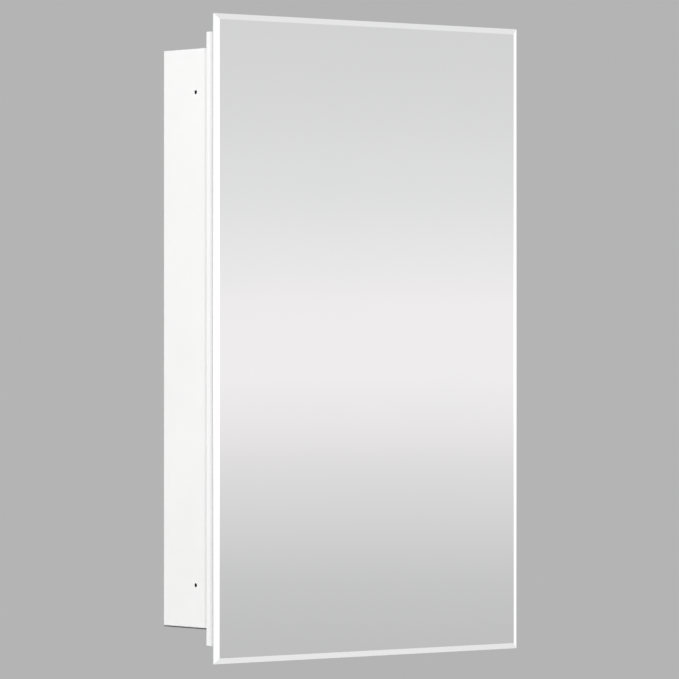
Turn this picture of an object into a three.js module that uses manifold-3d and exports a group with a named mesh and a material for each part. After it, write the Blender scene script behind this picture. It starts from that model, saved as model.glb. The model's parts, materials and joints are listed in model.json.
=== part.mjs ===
// A recessed steel medicine cabinet with a frameless, bevelled mirror door on a continuous hinge.
//
// Millimetres. X runs to the right as seen from the front, Y runs into the wall, Z is up.
// The origin is the centre of the back panel's rear face, and the mirror faces -Y.
// Every piece is its own closed solid. Pieces that touch in the real cabinet keep a gap of GAP.

import * as THREE from "three";
import { ConvexGeometry } from "three/addons/geometries/ConvexGeometry.js";
import { mergeVertices } from "three/addons/utils/BufferGeometryUtils.js";
import Module from "manifold-3d";

const wasm = await Module();
wasm.setup();

// ---------------------------------------------------------------- driving dimensions

const GAP = 0.3; // clearance between pieces that touch
const SHEET = 1; // thickness of the folded steel sheet

const MIRROR_W = 406.4; // 16 in
const MIRROR_H = 660.4; // 26 in
const GLASS_T = 4;
const BEVEL_W = 6; // width of the ground bevel round the glass
const BEVEL_DROP = 2.6; // how far the bevel falls back at the glass's edge
const OVERHANG = 16.7; // the glass past the door pan and the rim, as a finger pull

const BODY_W = 342.9; // 13 1/2 in, for a 14 in opening between studs
const BODY_H = 596.9; // 23 1/2 in
const RECESS = 92.1; // 3 5/8 in, from the wall's surface to the back panel's rear face
const RIM_DEPTH = 20; // the rim's height off the wall
const DOOR_GAP = 4; // between the rim's front and the door pan, filled by the hinge
const PAN_DEPTH = 8.8; // from the pan's rear face to the mirror's rear face

const SCREW_HOLE_R = 2.05; // side holes for the wall screws
const SCREW_HOLE_BEHIND_WALL = 37.5;
const SCREW_HOLE_Z = 253.7;

const SHELF_T = 4.8;
const SHELF_L = 329;
const SHELF_FRONT = -93; // the shelves' front edge
const SHELF_REAR = -5;
const SHELF_SLOTS = [-150, 0, 150]; // heights of the slots that the shelf clips hook into
const TRACK_W = 16;
const TRACK_DEPTH = 4.5;
const TRACK_H = 540;
const TRACK_Y = { rear: -24, front: -74 };
const SLOT_PITCH = 25;
const SLOT_W = 8;
const SLOT_H = 3;

const KNUCKLES = 24;
const KNUCKLE_L = 25; // length of one knuckle with its share of the gap
const KNUCKLE_GAP = 0.4;
const BARREL_R = 2.3;
const BORE_R = 1.6;
const PIN_R = 1.25;
const LEAF_T = 0.9;
const LEAF_W = 13.5;
const BARREL_SIDES = 12;

const RIVET_HOLE_R = 1.8;
const RIVET_R = 1.5;
const RIVET_HEAD_R = 2.7;
const RIVET_HEAD_H = 0.7;

const CATCH_Z = 0; // the catch sits at mid height
const CATCH_W = 14;
const CATCH_H = 44;
const CATCH_DEPTH = 15;
const CATCH_EAR = 11;
const CATCH_EAR_T = 3;
const POLE_T = 1.2;
const MAGNET_T = 4.6;
const MAGNET_H = 30;

const BUMPER_R = 4.5;
const BUMPER_Z = 288;

// ---------------------------------------------------------------- derived planes

const WALL_Y = -RECESS; // the wall's surface
const RIM_FRONT = WALL_Y - RIM_DEPTH;
const PAN_REAR = RIM_FRONT - DOOR_GAP;
const MIRROR_REAR = PAN_REAR - PAN_DEPTH;
const RIM_W = MIRROR_W - 2 * OVERHANG;
const RIM_H = MIRROR_H - 2 * OVERHANG;
const INNER_X = BODY_W / 2 - SHEET; // inside faces of the side panels
const INNER_Z = BODY_H / 2 - SHEET; // inside faces of the top and bottom panels
const RAIL_W = RIM_W / 2 - INNER_X;
const HINGE_X = RIM_W / 2 + BARREL_R + GAP;
const HINGE_Y = (RIM_FRONT + PAN_REAR) / 2;
const LEAF_Y = DOOR_GAP / 2 - GAP - LEAF_T / 2; // from the hinge's mid plane to a leaf's middle
const RIVET_X = RIM_W / 2 - 7.5; // hinge rivets, and the bumpers on the other side
const CABINET_RIVETS = [-255, -85, 85, 255];
const DOOR_RIVETS = [-280, -110, 110, 280];

// ---------------------------------------------------------------- finishes

const finish = (color, roughness, metalness) =>
  new THREE.MeshStandardMaterial({ color, roughness, metalness });
const ENAMEL = finish(0xf5f5f3, 0.35, 0);
const MIRROR = finish(0xe6e8e8, 0.02, 1);
const SHELF_GLASS = finish(0xcfe3dc, 0.05, 0);
const ZINC = finish(0xb9bcbe, 0.35, 1);
const STEEL = finish(0x9fa2a4, 0.3, 1);
const WHITE_PLASTIC = finish(0xeeeeea, 0.5, 0);
const MAGNET = finish(0x2b2b2d, 0.7, 0.2);
const RUBBER = finish(0xd8d8d4, 0.9, 0);
const BOARD = finish(0x9a7650, 0.85, 0);
const FOAM = finish(0x3a3a3c, 0.95, 0);

// ---------------------------------------------------------------- solids

// A closed three.js geometry as a solid for cutting and joining.
function toSolid(geometry) {
  const bare = geometry.clone();
  bare.deleteAttribute("normal");
  bare.deleteAttribute("uv");
  const merged = mergeVertices(bare);
  return new wasm.Manifold(
    new wasm.Mesh({
      numProp: 3,
      vertProperties: merged.attributes.position.array,
      triVerts: new Uint32Array(merged.index.array),
    }),
  );
}

// A solid back as a three.js geometry.
function toGeometry(solid) {
  const mesh = solid.getMesh();
  const geometry = new THREE.BufferGeometry();
  geometry.setAttribute(
    "position",
    new THREE.BufferAttribute(mesh.vertProperties, 3),
  );
  geometry.setIndex(new THREE.BufferAttribute(mesh.triVerts, 1));
  geometry.computeVertexNormals();
  return geometry;
}

// The first geometry with all the others cut away.
function cut(body, tools) {
  return toGeometry(
    tools.reduce((solid, tool) => solid.subtract(toSolid(tool)), toSolid(body)),
  );
}

// All the geometries joined into one.
function join(pieces) {
  return toGeometry(
    pieces.map(toSolid).reduce((solid, piece) => solid.add(piece)),
  );
}

// A block given by its [low, high] extent along each axis.
function block(x, y, z) {
  const geometry = new THREE.BoxGeometry(x[1] - x[0], y[1] - y[0], z[1] - z[0]);
  return geometry.translate(
    (x[0] + x[1]) / 2,
    (y[0] + y[1]) / 2,
    (z[0] + z[1]) / 2,
  );
}

// A block with its middle at the origin of X and Z, from y = 0 towards -Y.
function sheet(width, height, depth) {
  return block([-width / 2, width / 2], [-depth, 0], [-height / 2, height / 2]);
}

// A cylinder along an axis, for holes: it is centred on the point.
function drill(axis, radius, length, [x, y, z], sides = 20) {
  const geometry = new THREE.CylinderGeometry(radius, radius, length, sides);
  if (axis === "x") geometry.rotateZ(Math.PI / 2);
  if (axis === "z") geometry.rotateX(Math.PI / 2);
  return geometry.translate(x, y, z);
}

// A turned piece about Y, from [radius, height] pairs that begin and end on the axis.
function turned(profile, sides = 20) {
  return new THREE.LatheGeometry(
    profile.map(([r, y]) => new THREE.Vector2(r, y)),
    sides,
  );
}

const cabinet = new THREE.Group();
const door = new THREE.Group();

function add(group, name, geometry, material, position = [0, 0, 0]) {
  const mesh = new THREE.Mesh(geometry, material);
  mesh.name = name;
  mesh.position.set(...position);
  group.add(mesh);
  return mesh;
}

// ---------------------------------------------------------------- the recessed body

function addBackPanel() {
  const panel = sheet(2 * (INNER_X - GAP), 2 * (INNER_Z - GAP), SHEET);
  add(cabinet, "back_panel", panel, ENAMEL);
}

// A side panel's outer face is at local x = 0, and its sheet lies towards -X. It stands on the
// bottom panel.
function sidePanel() {
  const wall = block(
    [-SHEET, 0],
    [WALL_Y + GAP, 0],
    [-INNER_Z + GAP, BODY_H / 2],
  );
  const y = WALL_Y + SCREW_HOLE_BEHIND_WALL;
  const holes = [SCREW_HOLE_Z, -SCREW_HOLE_Z].map((z) =>
    drill("x", SCREW_HOLE_R, 4 * SHEET, [0, y, z], 24),
  );
  return cut(wall, holes);
}

function addSidePanels() {
  add(cabinet, "right_side_panel", sidePanel(), ENAMEL, [BODY_W / 2, 0, 0]);
  add(
    cabinet,
    "left_side_panel",
    sidePanel().translate(SHEET, 0, 0),
    ENAMEL,
    [-BODY_W / 2, 0, 0],
  );
}

// The top panel is tucked between the side panels, and the bottom panel laps under them.
function addTopAndBottomPanels() {
  const plate = (reach) =>
    block([-reach, reach], [WALL_Y + GAP, 0], [-SHEET / 2, SHEET / 2]);
  const z = BODY_H / 2 - SHEET / 2;
  add(cabinet, "top_panel", plate(INNER_X - GAP), ENAMEL, [0, 0, z]);
  add(cabinet, "bottom_panel", plate(BODY_W / 2), ENAMEL, [0, 0, -z]);
}

// ---------------------------------------------------------------- the rim round the opening

// A mitred box-section rail. It lies along local X with its outer face at z = 0 and its
// rear face, which rests on the wall, at y = 0. Behind its inner edge a shallow step takes the
// front edge of the body's sheet. Holes are cut where the rail carries hardware.
function rail(length, holes = []) {
  const mitre = GAP / 2;
  const outline = new THREE.Shape([
    new THREE.Vector2(-length / 2 + mitre, 0),
    new THREE.Vector2(-length / 2 + RAIL_W + mitre, -RAIL_W),
    new THREE.Vector2(length / 2 - RAIL_W - mitre, -RAIL_W),
    new THREE.Vector2(length / 2 - mitre, 0),
  ]);
  const bar = new THREE.ExtrudeGeometry(outline, {
    depth: RIM_DEPTH,
    bevelEnabled: false,
  });
  bar.rotateX(Math.PI / 2);
  const bore = block(
    [-length, length],
    [-RIM_DEPTH + SHEET, -SHEET],
    [-RAIL_W + SHEET, -SHEET],
  );
  const step = block(
    [-length, length],
    [-GAP, SHEET],
    [-RAIL_W - SHEET, -RAIL_W + SHEET + GAP],
  );
  return cut(bar, [bore, step, ...holes]);
}

// Holes through a rail's front wall, at distances along it and one height off its outer face.
function frontHoles(places, inset, radius) {
  return places.map((s) =>
    drill("y", radius, 4 * SHEET, [s, -RIM_DEPTH, -inset]),
  );
}

function addRim() {
  const hingeInset = RIM_W / 2 - RIVET_X;
  const catchHoles = [-1, 1].map((side) =>
    drill("z", RIVET_HOLE_R, 4 * SHEET, [
      CATCH_Z + (side * (CATCH_H + CATCH_EAR)) / 2,
      -RIM_DEPTH + CATCH_DEPTH / 2,
      -RAIL_W,
    ]),
  );
  const latchHoles = [
    ...frontHoles([-BUMPER_Z, BUMPER_Z], hingeInset, RIVET_HOLE_R),
    ...catchHoles,
  ];
  const hingeHoles = frontHoles(CABINET_RIVETS, hingeInset, RIVET_HOLE_R);
  const rails = [
    ["rim_top_rail", rail(RIM_W), [0, WALL_Y, RIM_H / 2], 0],
    ["rim_bottom_rail", rail(RIM_W), [0, WALL_Y, -RIM_H / 2], Math.PI],
    [
      "rim_right_rail",
      rail(RIM_H, hingeHoles),
      [RIM_W / 2, WALL_Y, 0],
      Math.PI / 2,
    ],
    [
      "rim_left_rail",
      rail(RIM_H, latchHoles),
      [-RIM_W / 2, WALL_Y, 0],
      -Math.PI / 2,
    ],
  ];
  for (const [name, geometry, position, turn] of rails)
    add(cabinet, name, geometry, ENAMEL, position).rotation.y = turn;
}

// ---------------------------------------------------------------- shelves and their supports

// A slotted shelf track: a shallow channel whose open side faces the side panel.
// Its back is at x = 0 and its slotted face is towards +X.
function shelfTrack() {
  const half = TRACK_W / 2;
  const channel = block(
    [0, TRACK_DEPTH],
    [-half, half],
    [-TRACK_H / 2, TRACK_H / 2],
  );
  const hollow = block(
    [-SHEET, TRACK_DEPTH - SHEET],
    [-half + SHEET, half - SHEET],
    [-TRACK_H, TRACK_H],
  );
  const slots = [];
  for (let z = -TRACK_H / 2 + 20; z <= TRACK_H / 2 - 20; z += SLOT_PITCH)
    slots.push(
      block(
        [TRACK_DEPTH - 2 * SHEET, TRACK_DEPTH + SHEET],
        [-SLOT_W / 2, SLOT_W / 2],
        [z - SLOT_H / 2, z + SLOT_H / 2],
      ),
    );
  return cut(channel, [hollow, ...slots]);
}

// A clip hooked into a slot at z = 0: a tongue behind the track's face, a back plate on it,
// and a ledge above the slot that the glass lies on. The track's face is at x = 0.
const CLIP_LEDGE_TOP = 5.2;
const CLIP_LEDGE = 9;
function shelfClip() {
  const outline = new THREE.Shape();
  const front = 1.4;
  outline.moveTo(-2.4, -0.8);
  outline.lineTo(GAP, -0.8);
  outline.lineTo(GAP, -4);
  outline.lineTo(front, -4);
  outline.lineTo(front, CLIP_LEDGE_TOP - 2.6);
  outline.absarc(
    front + 1.2,
    CLIP_LEDGE_TOP - 2.6,
    1.2,
    Math.PI,
    Math.PI / 2,
    true,
  );
  outline.lineTo(CLIP_LEDGE, CLIP_LEDGE_TOP - 1.4);
  outline.lineTo(CLIP_LEDGE, CLIP_LEDGE_TOP);
  outline.lineTo(GAP, CLIP_LEDGE_TOP);
  outline.lineTo(GAP, 0.8);
  outline.lineTo(-2.4, 0.8);
  const width = SLOT_W - 2;
  const clip = new THREE.ExtrudeGeometry(outline, {
    depth: width,
    bevelEnabled: false,
    curveSegments: 4,
  });
  return clip.rotateX(Math.PI / 2).translate(0, width / 2, 0);
}

function addShelving() {
  const trackX = INNER_X - GAP;
  const faceX = trackX - TRACK_DEPTH;
  const sides = [
    ["left", -1, 0],
    ["right", 1, Math.PI],
  ];
  for (const [side, sign, turn] of sides)
    for (const [row, y] of Object.entries(TRACK_Y)) {
      const name = `shelf_track_${side}_${row}`;
      const place = [sign * trackX, y, 0];
      add(cabinet, name, shelfTrack(), ENAMEL, place).rotation.z = turn;
    }
  SHELF_SLOTS.forEach((slot, i) => {
    const level = ["lower", "middle", "upper"][i];
    const rest = slot + CLIP_LEDGE_TOP + GAP;
    const glass = block(
      [-SHELF_L / 2, SHELF_L / 2],
      [SHELF_FRONT, SHELF_REAR],
      [0, SHELF_T],
    );
    add(cabinet, `shelf_${level}`, glass, SHELF_GLASS, [0, 0, rest]);
    for (const [side, sign, turn] of sides)
      for (const [row, y] of Object.entries(TRACK_Y)) {
        const name = `shelf_clip_${level}_${side}_${row}`;
        const place = [sign * faceX, y, slot];
        add(cabinet, name, shelfClip(), ZINC, place).rotation.z = turn;
      }
  });
}

// ---------------------------------------------------------------- the continuous hinge

// One leaf, with every second knuckle of the barrel. The barrel's axis is the local Z axis,
// the leaf runs towards -X, and side is +1 for the leaf on the rim and -1 for the door's.
function hingeLeaf(side, first, rivets) {
  const length = KNUCKLES * KNUCKLE_L;
  const y = [side * LEAF_Y - LEAF_T / 2, side * LEAF_Y + LEAF_T / 2];
  const edge = -(BARREL_R + 0.5);
  const inRing = -1.45; // where a tongue ends, inside the barrel's wall
  const parts = [
    block(
      [edge - LEAF_W, edge],
      y,
      [-length / 2, length / 2],
    ),
  ];
  const ring = [
    [BORE_R, -(KNUCKLE_L - KNUCKLE_GAP) / 2],
    [BARREL_R, -(KNUCKLE_L - KNUCKLE_GAP) / 2],
    [BARREL_R, (KNUCKLE_L - KNUCKLE_GAP) / 2],
    [BORE_R, (KNUCKLE_L - KNUCKLE_GAP) / 2],
    [BORE_R, -(KNUCKLE_L - KNUCKLE_GAP) / 2],
  ];
  for (let i = first; i < KNUCKLES; i += 2) {
    const z = -length / 2 + (i + 0.5) * KNUCKLE_L;
    const half = (KNUCKLE_L - KNUCKLE_GAP) / 2;
    parts.push(
      turned(ring, BARREL_SIDES).rotateX(Math.PI / 2).translate(0, 0, z),
      block([edge - 1, inRing], y, [z - half, z + half]),
    );
  }
  const holes = rivets.map((z) =>
    drill("y", RIVET_HOLE_R, 4 * LEAF_T, [RIVET_X - HINGE_X, side * LEAF_Y, z]),
  );
  return cut(join(parts), holes);
}

// A rivet that holds a plate to one thickness of sheet. Its shank is along Y: the head's
// underside is at y = 0 and the shank runs to -Y.
function rivet(plateThickness) {
  const grip = plateThickness + SHEET + 3 * GAP;
  const tail = 1;
  return turned([
    [0, -grip - tail],
    [RIVET_R * 0.9, -grip - tail],
    [RIVET_HEAD_R * 0.85, -grip - tail / 2],
    [RIVET_HEAD_R * 0.85, -grip],
    [RIVET_R, -grip],
    [RIVET_R, 0],
    [RIVET_HEAD_R, 0],
    [RIVET_HEAD_R, RIVET_HEAD_H * 0.5],
    [RIVET_HEAD_R * 0.6, RIVET_HEAD_H],
    [0, RIVET_HEAD_H],
  ]);
}

function addHinge() {
  const axis = [HINGE_X, HINGE_Y, 0];
  const onCabinet = hingeLeaf(1, 0, CABINET_RIVETS);
  const onDoor = hingeLeaf(-1, 1, DOOR_RIVETS);
  add(cabinet, "hinge_leaf_cabinet", onCabinet, ZINC, axis);
  add(door, "hinge_leaf_door", onDoor, ZINC, axis);
  const pin = new THREE.CylinderGeometry(
    PIN_R,
    PIN_R,
    KNUCKLES * KNUCKLE_L + 2,
    BARREL_SIDES,
  );
  add(cabinet, "hinge_pin", pin.rotateX(Math.PI / 2), STEEL, axis);
  const inner = LEAF_Y - LEAF_T / 2 - GAP; // from the mid plane to the underside of a head
  CABINET_RIVETS.forEach((z, i) => {
    const name = `hinge_rivet_cabinet_${i + 1}`;
    const place = [RIVET_X, HINGE_Y + inner, z];
    add(cabinet, name, rivet(LEAF_T), STEEL, place).rotation.x = Math.PI;
  });
  DOOR_RIVETS.forEach((z, i) => {
    const name = `hinge_rivet_door_${i + 1}`;
    add(door, name, rivet(LEAF_T), STEEL, [RIVET_X, HINGE_Y - inner, z]);
  });
}

// ---------------------------------------------------------------- the magnetic catch

const POLE_SPAN = 2 * POLE_T + MAGNET_T + 2 * GAP; // the magnet between its pole plates
const CATCH_X = -INNER_X + GAP + CATCH_W / 2; // middle of the catch
const STRIKE_T = 1.2;
const STRIKE_W = 16;
const STRIKE_H = 52;
const STRIKE_RIVET_Z = 21;

function catchHousing() {
  const half = CATCH_W / 2;
  const tall = CATCH_H / 2;
  const body = block([-half, half], [0, CATCH_DEPTH], [-tall, tall]);
  const ears = block(
    [-half, -half + CATCH_EAR_T],
    [0, CATCH_DEPTH],
    [-tall - CATCH_EAR, tall + CATCH_EAR],
  );
  const pocket = block(
    [-POLE_SPAN / 2 - GAP, POLE_SPAN / 2 + GAP],
    [-1, CATCH_DEPTH - 2],
    [-MAGNET_H / 2 - GAP, MAGNET_H / 2 + GAP],
  );
  const holes = [-1, 1].map((side) =>
    drill("x", RIVET_HOLE_R, 4 * CATCH_EAR_T, [
      -half,
      CATCH_DEPTH / 2,
      side * (tall + CATCH_EAR / 2),
    ]),
  );
  return cut(join([body, ears]), [pocket, ...holes]);
}

// A pan-head screw along Y: the head's underside is at y = 0 and the point is towards -Y.
function catchScrew() {
  return turned([
    [0, -9],
    [0.5, -9],
    [RIVET_R, -7],
    [RIVET_R, 0],
    [3.3, 0],
    [3.3, 1],
    [2.4, 1.9],
    [0, 2],
  ]);
}

function addCatch() {
  const front = RIM_FRONT;
  const middle = [CATCH_X, front, CATCH_Z];
  add(cabinet, "catch_housing", catchHousing(), WHITE_PLASTIC, middle);
  const strikeRear = PAN_REAR + GAP + STRIKE_T;
  const reach = [strikeRear + GAP, front + CATCH_DEPTH - 2 - GAP];
  const tall = [-MAGNET_H / 2, MAGNET_H / 2];
  const plate = block([-POLE_T / 2, POLE_T / 2], reach, tall);
  const offset = MAGNET_T / 2 + GAP + POLE_T / 2;
  add(cabinet, "catch_pole_outer", plate, STEEL, [CATCH_X - offset, 0, CATCH_Z]);
  add(cabinet, "catch_pole_inner", plate.clone(), STEEL, [
    CATCH_X + offset,
    0,
    CATCH_Z,
  ]);
  const magnet = block(
    [-MAGNET_T / 2, MAGNET_T / 2],
    [front - 0.5, reach[1]],
    tall,
  );
  add(cabinet, "catch_magnet", magnet, MAGNET, [CATCH_X, 0, CATCH_Z]);
  for (const [level, side] of [
    ["upper", 1],
    ["lower", -1],
  ]) {
    const screw = add(cabinet, `catch_screw_${level}`, catchScrew(), STEEL, [
      -INNER_X + GAP + CATCH_EAR_T + GAP,
      front + CATCH_DEPTH / 2,
      CATCH_Z + (side * (CATCH_H + CATCH_EAR)) / 2,
    ]);
    screw.rotation.z = -Math.PI / 2;
  }
}

function addStrike() {
  const half = STRIKE_W / 2;
  const plate = block([-half, half], [0, STRIKE_T], [
    -STRIKE_H / 2,
    STRIKE_H / 2,
  ]);
  const places = [-STRIKE_RIVET_Z, STRIKE_RIVET_Z];
  const holes = places.map((z) => drill("y", RIVET_HOLE_R, 6, [0, 0, z]));
  add(door, "strike_plate", cut(plate, holes), ZINC, [
    CATCH_X,
    PAN_REAR + GAP,
    CATCH_Z,
  ]);
  const headY = PAN_REAR + GAP + STRIKE_T + GAP;
  ["lower", "upper"].forEach((level, i) => {
    const place = [CATCH_X, headY, CATCH_Z + places[i]];
    add(door, `strike_rivet_${level}`, rivet(STRIKE_T), STEEL, place);
  });
}

// ---------------------------------------------------------------- bumpers

// A push-in rubber bumper: its pad faces -Y and its stem goes through the rim's front wall.
function bumper() {
  const pad = DOOR_GAP - 2 * GAP;
  return turned([
    [0, -pad],
    [BUMPER_R - 0.8, -pad],
    [BUMPER_R, -pad + 0.8],
    [BUMPER_R, 0],
    [RIVET_R - 0.2, 0],
    [RIVET_R - 0.2, 3],
    [RIVET_R - 0.8, 4.5],
    [0, 4.5],
  ]);
}

function addBumpers() {
  for (const [level, side] of [
    ["upper", 1],
    ["lower", -1],
  ])
    add(cabinet, `door_bumper_${level}`, bumper(), RUBBER, [
      -RIVET_X,
      RIM_FRONT - GAP,
      side * BUMPER_Z,
    ]);
}

// ---------------------------------------------------------------- the door

const BOARD_W = 304;
const BOARD_H = 566;
const BOARD_T = 5;
const TAPE_W = 25;
const TAPE_H = 540;
const TAPE_X = 115;

// The steel pan: a shallow tray that opens towards the mirror.
function addPan() {
  const tray = sheet(RIM_W, RIM_H, PAN_DEPTH - GAP);
  const inside = block(
    [-RIM_W / 2 + SHEET, RIM_W / 2 - SHEET],
    [-2 * PAN_DEPTH, -SHEET],
    [-RIM_H / 2 + SHEET, RIM_H / 2 - SHEET],
  );
  const hole = (x, z) => drill("y", RIVET_HOLE_R, 4 * SHEET, [x, 0, z]);
  const holes = [
    ...DOOR_RIVETS.map((z) => hole(RIVET_X, z)),
    hole(CATCH_X, CATCH_Z + STRIKE_RIVET_Z),
    hole(CATCH_X, CATCH_Z - STRIKE_RIVET_Z),
  ];
  const pan = cut(tray, [inside, ...holes]);
  add(door, "door_pan", pan, ENAMEL, [0, PAN_REAR, 0]);
}

// The stiffening board in the pan, and the foam strips that hold the mirror to it.
function addBoardAndTape() {
  const boardRear = PAN_REAR - SHEET - GAP;
  const board = sheet(BOARD_W, BOARD_H, BOARD_T);
  add(door, "backing_board", board, BOARD, [0, boardRear, 0]);
  const tapeRear = boardRear - BOARD_T - GAP;
  const tapeT = tapeRear - GAP - MIRROR_REAR;
  for (const [place, side] of [
    ["left", -1],
    ["centre", 0],
    ["right", 1],
  ]) {
    const tape = sheet(TAPE_W, TAPE_H, tapeT - GAP);
    add(door, `mounting_tape_${place}`, tape, FOAM, [
      side * TAPE_X,
      tapeRear,
      0,
    ]);
  }
}

// The mirror: a glass plate with a bevel ground all round its front face.
function addMirror() {
  const ring = (inset, y) =>
    [-1, 1].flatMap((i) =>
      [-1, 1].map(
        (k) =>
          new THREE.Vector3(
            i * (MIRROR_W / 2 - inset),
            y,
            k * (MIRROR_H / 2 - inset),
          ),
      ),
    );
  const glass = new ConvexGeometry([
    ...ring(0, 0),
    ...ring(0, -GLASS_T + BEVEL_DROP),
    ...ring(BEVEL_W, -GLASS_T),
  ]);
  add(door, "mirror_glass", glass, MIRROR, [0, MIRROR_REAR, 0]);
}

addBackPanel();
addSidePanels();
addTopAndBottomPanels();
addRim();
addShelving();
addHinge();
addCatch();
addStrike();
addBumpers();
addPan();
addBoardAndTape();
addMirror();

const medicineCabinet = new THREE.Group();
medicineCabinet.add(cabinet, door);

export default medicineCabinet;
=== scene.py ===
import json
import math

import bmesh
import bpy
from mathutils import Matrix, Vector


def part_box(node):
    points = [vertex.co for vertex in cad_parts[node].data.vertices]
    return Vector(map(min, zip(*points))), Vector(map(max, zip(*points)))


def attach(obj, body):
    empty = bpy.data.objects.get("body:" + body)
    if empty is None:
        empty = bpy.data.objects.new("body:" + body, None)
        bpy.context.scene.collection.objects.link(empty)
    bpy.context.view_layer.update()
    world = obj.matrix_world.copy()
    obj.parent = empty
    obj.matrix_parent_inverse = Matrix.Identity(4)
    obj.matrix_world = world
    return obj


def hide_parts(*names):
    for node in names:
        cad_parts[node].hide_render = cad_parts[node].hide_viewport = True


# A recessed, white enamelled medicine cabinet with a bevelled mirror door. The CAD frame holds
# the size and place of every piece; this script gives each its finished surface and material.
# Metres. X runs to the right, Y runs into the wall, Z is up, and the mirror faces -Y.

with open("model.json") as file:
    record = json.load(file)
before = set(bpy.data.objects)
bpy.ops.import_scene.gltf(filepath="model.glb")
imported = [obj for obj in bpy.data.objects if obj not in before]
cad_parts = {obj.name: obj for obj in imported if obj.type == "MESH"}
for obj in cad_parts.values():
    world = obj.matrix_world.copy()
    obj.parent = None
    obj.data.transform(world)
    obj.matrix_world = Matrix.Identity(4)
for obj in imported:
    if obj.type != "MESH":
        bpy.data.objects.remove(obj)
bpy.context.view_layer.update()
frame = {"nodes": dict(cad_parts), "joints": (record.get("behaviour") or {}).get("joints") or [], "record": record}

MM = 0.001
X, Y, Z = Vector((1, 0, 0)), Vector((0, 1, 0)), Vector((0, 0, 1))
BODIES = frame["record"]["behaviour"]["bodies"]
HINGE_AXIS = Vector(frame["joints"][0]["pos_m"])
MIRROR_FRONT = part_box("mirror_glass")[0].y
RIM_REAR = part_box("rim_left_rail")[1].y  # the rim lies against the wall's surface here
SHEET = 1.0 * MM  # the thickness of the enamelled steel


def body_of(node):
    return next(body for body, members in BODIES.items() if node in members)


def size_of(node):
    low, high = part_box(node)
    return high - low


def middle(node, **places):
    """The middle of a node's box. A place given for an axis stands for the middle's."""
    low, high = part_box(node)
    point = (low + high) / 2
    for axis, value in places.items():
        setattr(point, axis, value)
    return point


# ---------------------------------------------------------------- node trees


def grey(level, blue=0.0):
    """A grey colour, with its blue raised or lowered."""
    return (level, level, level + blue)


class Tree:
    """Makes nodes and joins them. A value is a number, a colour or another node's output."""

    def __init__(self, tree):
        self.tree = tree

    def node(self, kind, inputs=None, **settings):
        made = self.tree.nodes.new("ShaderNode" + kind)
        for key, value in settings.items():
            setattr(made, key, value)
        for key, value in (inputs or {}).items():
            self.join(value, made.inputs[key])
        return made

    def join(self, value, socket):
        if isinstance(value, bpy.types.NodeSocket):
            self.tree.links.new(value, socket)
        elif isinstance(value, tuple) and socket.type == "RGBA":
            socket.default_value = (*value, 1)
        else:
            socket.default_value = value

    def fit(self, value, low, high, to_low, to_high):
        inputs = {"Value": value, "From Min": low, "From Max": high}
        inputs.update({"To Min": to_low, "To Max": to_high})
        return self.node("MapRange", inputs).outputs[0]

    def mix(self, factor, first, second):
        """A mix of two colours, which are sockets 6 and 7 of a Mix node and its output 2."""
        return self.node("Mix", {0: factor, 6: first, 7: second}, data_type="RGBA").outputs[2]

    def mix_values(self, factor, first, second):
        """A mix of two numbers, which are sockets 2 and 3 of a Mix node and its output 0."""
        return self.node("Mix", {0: factor, 2: first, 3: second}, data_type="FLOAT").outputs[0]


# ---------------------------------------------------------------- camera, light and setting

VIEW_FROM_LEFT = math.radians(38.83)  # how far round to the cabinet's left the camera stands
VIEW_TARGET = Vector((-41.2, -128.9, -0.8)) * MM
VIEW_DISTANCE = 4.931
LENS, SENSOR = 252.8, 36  # in millimetres, as Blender's cameras are

BACKDROP = 0.456  # the even grey behind the cabinet
FLOOR_Z = -1.5
FLOOR_RADIUS = 12
FADE_FROM, FADE_TO = 4, 11  # how far out the floor starts and ends fading

# The band of the studio that the mirror shows, by a ray's height in degrees: brightest level with
# the cabinet, and darker above and below.
BAND = 5
STUDIO_BAND = [(-3.6, 0.56), (-2.6, 0.64), (-1.4, 0.80), (-0.6, 0.905)]
STUDIO_BAND += [(0, 0.918), (0.6, 0.895), (1.5, 0.805), (2.5, 0.745), (3.7, 0.695)]
OVERHEAD, OVERHEAD_FROM = 0.62, 32  # the studio's brightness from that many degrees up
UNDERFOOT, UNDERFOOT_FROM = 0.50, 40  # and from that many degrees down
WARM_LEVEL = (1.0, 0.980, 0.990)  # the faint pink of the brightest stretch
WARM_FROM, WARM_TO = -2, 1  # the heights between which it shows
BEHIND = 0.65  # how bright the studio is behind the cabinet, against its front
DIM_FROM, DIM_TO = -0.1, 0.5  # a ray's Y part where the studio starts and ends dimming to that

# A narrow strip lamp casts the rim's shadow on the cabinet's side.
RIM_SHADOW = 22.8 * MM  # how far behind the rim the shadow reaches
STRIP_DISTANCE = 3.5  # from the rim
STRIP_RISE = 0.4  # above the cabinet's middle

# The lamps that the mirror's bevels show: name, place, width, height and radiance. The first four
# stand where the bevels look from the camera's side, clear of what the flat of the mirror shows,
# and the last two where the side bevels look from straight in front.
MIRROR_LAMPS = [
    ("left_bevel", (-0.72, -3.5, 0), 0.62, 2.0, 0.53),
    ("right_bevel", (3.2, -0.36, 0), 1.0, 2.0, 0.53),
    ("top_bevel", (1.85, -1.70, 1.98), 1.1, 1.0, 0.225),
    ("bottom_bevel", (0.95, -0.93, -1.20), 0.9, 0.8, 0.345),
    ("left_front", (-2.91, -2.5, -0.2), 0.5, 1.4, 0.35),
    ("right_front", (2.95, -2.5, -0.2), 0.5, 1.4, 0.35),
]


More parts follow.
